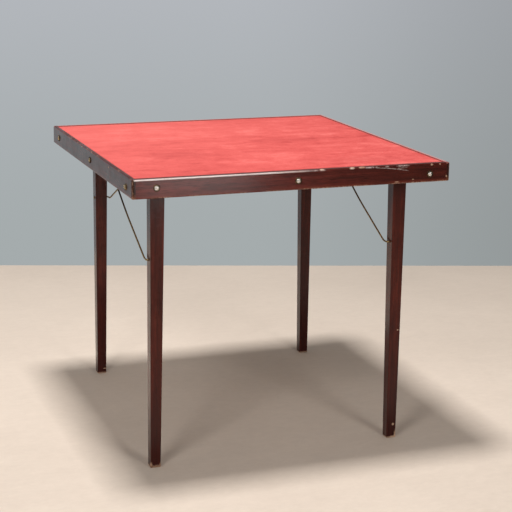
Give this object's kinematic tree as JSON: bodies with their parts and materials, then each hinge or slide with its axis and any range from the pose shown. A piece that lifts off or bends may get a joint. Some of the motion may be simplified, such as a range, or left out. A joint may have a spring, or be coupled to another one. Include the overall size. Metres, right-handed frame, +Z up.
{
  "type": "folding card table",
  "caption": "Square folding card table with a red baize top, stained wooden edge boards and tapered wooden legs that fold flat on steel wire braces.",
  "frame": {"origin": "on the floor under the middle of the square top", "axes": "+Z up, +X right along the front side, +Y from the front to the back"},
  "size_m": [0.8072, 0.8072, 0.71],
  "materials": {
    "red_baize": "felted, matt, slightly faded",
    "plywood": "plain",
    "softwood": "plain",
    "stained_fascia": "dark mahogany stain, worn satin varnish",
    "stained_leg": "dark mahogany stain, worn satin varnish",
    "screw_nickel": "plated, worn",
    "screw_brass": "worn brass",
    "cup_brass": "tarnished",
    "bolt_steel": "plain",
    "channel_steel": "zinc plated",
    "wire_steel": "tarnished"
  },
  "bodies": {
    "table": {"top_panel": "plywood", "felt_cover": "red_baize", "centre_batten": "softwood", "front_fascia": "stained_fascia", "front_rail": "softwood", "fascia_screws_front": "screw_nickel", "cup_washers_front": "cup_brass", "back_fascia": "stained_fascia", "back_rail": "softwood", "fascia_screws_back": "screw_nickel", "cup_washers_back": "cup_brass", "left_fascia": "stained_fascia", "left_rail": "softwood", "fascia_screws_left": "screw_brass", "cup_washers_left": "cup_brass", "right_fascia": "stained_fascia", "right_rail": "softwood", "fascia_screws_right": "screw_brass", "cup_washers_right": "cup_brass", "hinge_block_front_left": "softwood", "pivot_bolt_front_left": "bolt_steel", "pivot_washers_front_left": "bolt_steel", "guide_channel_front_left": "channel_steel", "channel_screws_front_left": "bolt_steel", "hinge_block_front_right": "softwood", "pivot_bolt_front_right": "bolt_steel", "pivot_washers_front_right": "bolt_steel", "guide_channel_front_right": "channel_steel", "channel_screws_front_right": "bolt_steel", "hinge_block_back_left": "softwood", "pivot_bolt_back_left": "bolt_steel", "pivot_washers_back_left": "bolt_steel", "guide_channel_back_left": "channel_steel", "channel_screws_back_left": "bolt_steel", "hinge_block_back_right": "softwood", "pivot_bolt_back_right": "bolt_steel", "pivot_washers_back_right": "bolt_steel", "guide_channel_back_right": "channel_steel", "channel_screws_back_right": "bolt_steel"},
    "leg_front_left": {"leg_front_left": "stained_leg"},
    "brace_front_left": {"brace_wire_front_left": "wire_steel"},
    "leg_front_right": {"leg_front_right": "stained_leg"},
    "brace_front_right": {"brace_wire_front_right": "wire_steel"},
    "leg_back_left": {"leg_back_left": "stained_leg"},
    "brace_back_left": {"brace_wire_back_left": "wire_steel"},
    "leg_back_right": {"leg_back_right": "stained_leg"},
    "brace_back_right": {"brace_wire_back_right": "wire_steel"}
  },
  "joints": [
    {"name": "leg_front_left_fold", "type": "hinge", "parent": "table", "child": "leg_front_left", "pos_m": [-0.332, -0.357, 0.682], "axis": [1, 0, 0], "range_deg": [0, 90]},
    {"name": "brace_front_left_swing", "type": "hinge", "parent": "leg_front_left", "child": "brace_front_left", "pos_m": [-0.332, -0.357, 0.511], "axis": [1, 0, 0], "range_deg": [-116, 0]},
    {"name": "leg_front_right_fold", "type": "hinge", "parent": "table", "child": "leg_front_right", "pos_m": [0.28, -0.357, 0.682], "axis": [1, 0, 0], "range_deg": [0, 90]},
    {"name": "brace_front_right_swing", "type": "hinge", "parent": "leg_front_right", "child": "brace_front_right", "pos_m": [0.28, -0.357, 0.511], "axis": [1, 0, 0], "range_deg": [-116, 0]},
    {"name": "leg_back_left_fold", "type": "hinge", "parent": "table", "child": "leg_back_left", "pos_m": [-0.28, 0.357, 0.682], "axis": [-1, 0, 0], "range_deg": [0, 90]},
    {"name": "brace_back_left_swing", "type": "hinge", "parent": "leg_back_left", "child": "brace_back_left", "pos_m": [-0.28, 0.357, 0.511], "axis": [-1, 0, 0], "range_deg": [-116, 0]},
    {"name": "leg_back_right_fold", "type": "hinge", "parent": "table", "child": "leg_back_right", "pos_m": [0.332, 0.357, 0.682], "axis": [-1, 0, 0], "range_deg": [0, 90]},
    {"name": "brace_back_right_swing", "type": "hinge", "parent": "leg_back_right", "child": "brace_back_right", "pos_m": [0.332, 0.357, 0.511], "axis": [-1, 0, 0], "range_deg": [-116, 0]}
  ],
  "couplings": [
    {"joint": "brace_front_left_swing", "follows": "leg_front_left_fold", "ratio": -1.2827},
    {"joint": "brace_front_right_swing", "follows": "leg_front_right_fold", "ratio": -1.2827},
    {"joint": "brace_back_left_swing", "follows": "leg_back_left_fold", "ratio": -1.2827},
    {"joint": "brace_back_right_swing", "follows": "leg_back_right_fold", "ratio": -1.2827}
  ]
}
